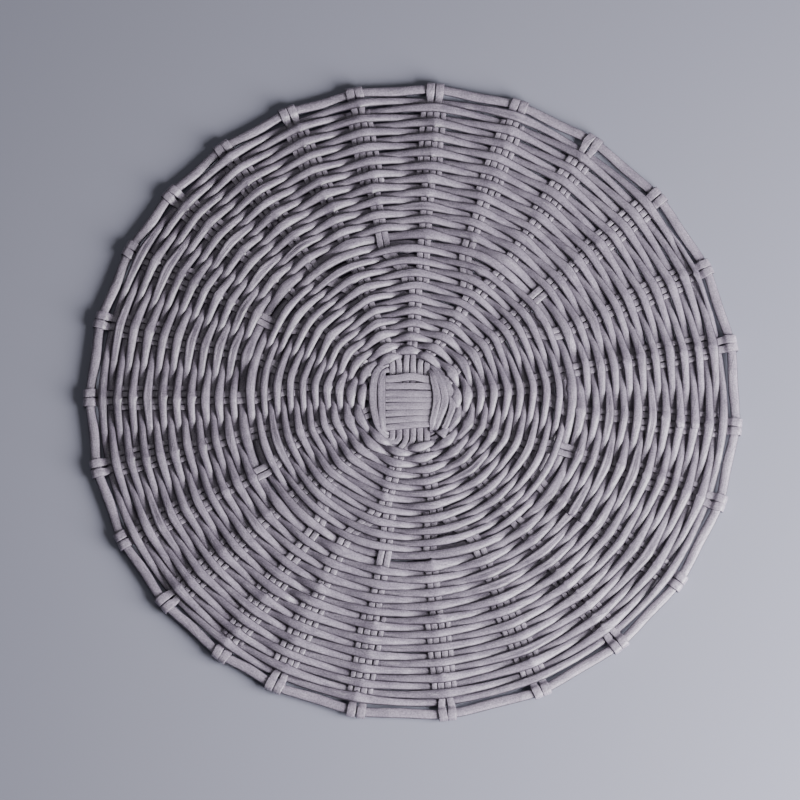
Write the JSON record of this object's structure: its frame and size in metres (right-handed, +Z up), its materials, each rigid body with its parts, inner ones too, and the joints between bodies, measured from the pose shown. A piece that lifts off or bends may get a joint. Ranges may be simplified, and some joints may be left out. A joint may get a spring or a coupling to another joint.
{
  "type": "chair seat pad",
  "caption": "Round flat seat mat, hand woven from painted rolled-paper tubes: a cross of stakes, a spiral weaver and stake ends looped over a rim. It lies loose on a chair seat.",
  "frame": {"origin": "centre of the mat, on the plane of its underside", "axes": "+Z up through the mat, +Y and +X in its plane; the strips on top of the cross run along X"},
  "size_m": [0.3797, 0.3794, 0.0062],
  "materials": {
    "stake": "matt painted rolled paper, pressed flat",
    "weaver": "matt painted rolled paper, pressed flat",
    "rim": "matt painted rolled paper, round"
  },
  "bodies": {
    "root": {"down_stake_1": "stake", "down_stake_2": "stake", "down_stake_3": "stake", "down_stake_4": "stake", "down_stake_5": "stake", "down_stake_6": "stake", "across_stake_1": "stake", "across_stake_2": "stake", "across_stake_3": "stake", "across_stake_4": "stake", "across_stake_5": "stake", "across_stake_6": "stake", "odd_stake_1": "stake", "odd_stake_2": "stake", "side_stakes_01": "stake", "side_stakes_02": "stake", "side_stakes_03": "stake", "side_stakes_04": "stake", "side_stakes_05": "stake", "side_stakes_06": "stake", "side_stakes_07": "stake", "side_stakes_08": "stake", "side_stakes_09": "stake", "side_stakes_10": "stake", "side_stakes_11": "stake", "side_stakes_12": "stake", "side_stakes_13": "stake", "side_stakes_14": "stake", "side_stakes_15": "stake", "side_stakes_16": "stake", "side_stakes_17": "stake", "side_stakes_18": "stake", "side_stakes_19": "stake", "side_stakes_20": "stake", "side_stakes_21": "stake", "side_stakes_22": "stake", "side_stakes_23": "stake", "side_stakes_24": "stake", "side_stakes_25": "stake", "inner_weaver_1": "weaver", "inner_weaver_2": "weaver", "inner_weaver_3": "weaver", "inner_weaver_4": "weaver", "inner_weaver_5": "weaver", "inner_weaver_6": "weaver", "inner_weaver_7": "weaver", "inner_weaver_8": "weaver", "inner_weaver_9": "weaver", "outer_weaver_01": "weaver", "outer_weaver_02": "weaver", "outer_weaver_03": "weaver", "outer_weaver_04": "weaver", "outer_weaver_05": "weaver", "outer_weaver_06": "weaver", "outer_weaver_07": "weaver", "outer_weaver_08": "weaver", "outer_weaver_09": "weaver", "outer_weaver_10": "weaver", "centre_binder": "weaver", "rim_strand": "rim"}
  },
  "joints": []
}
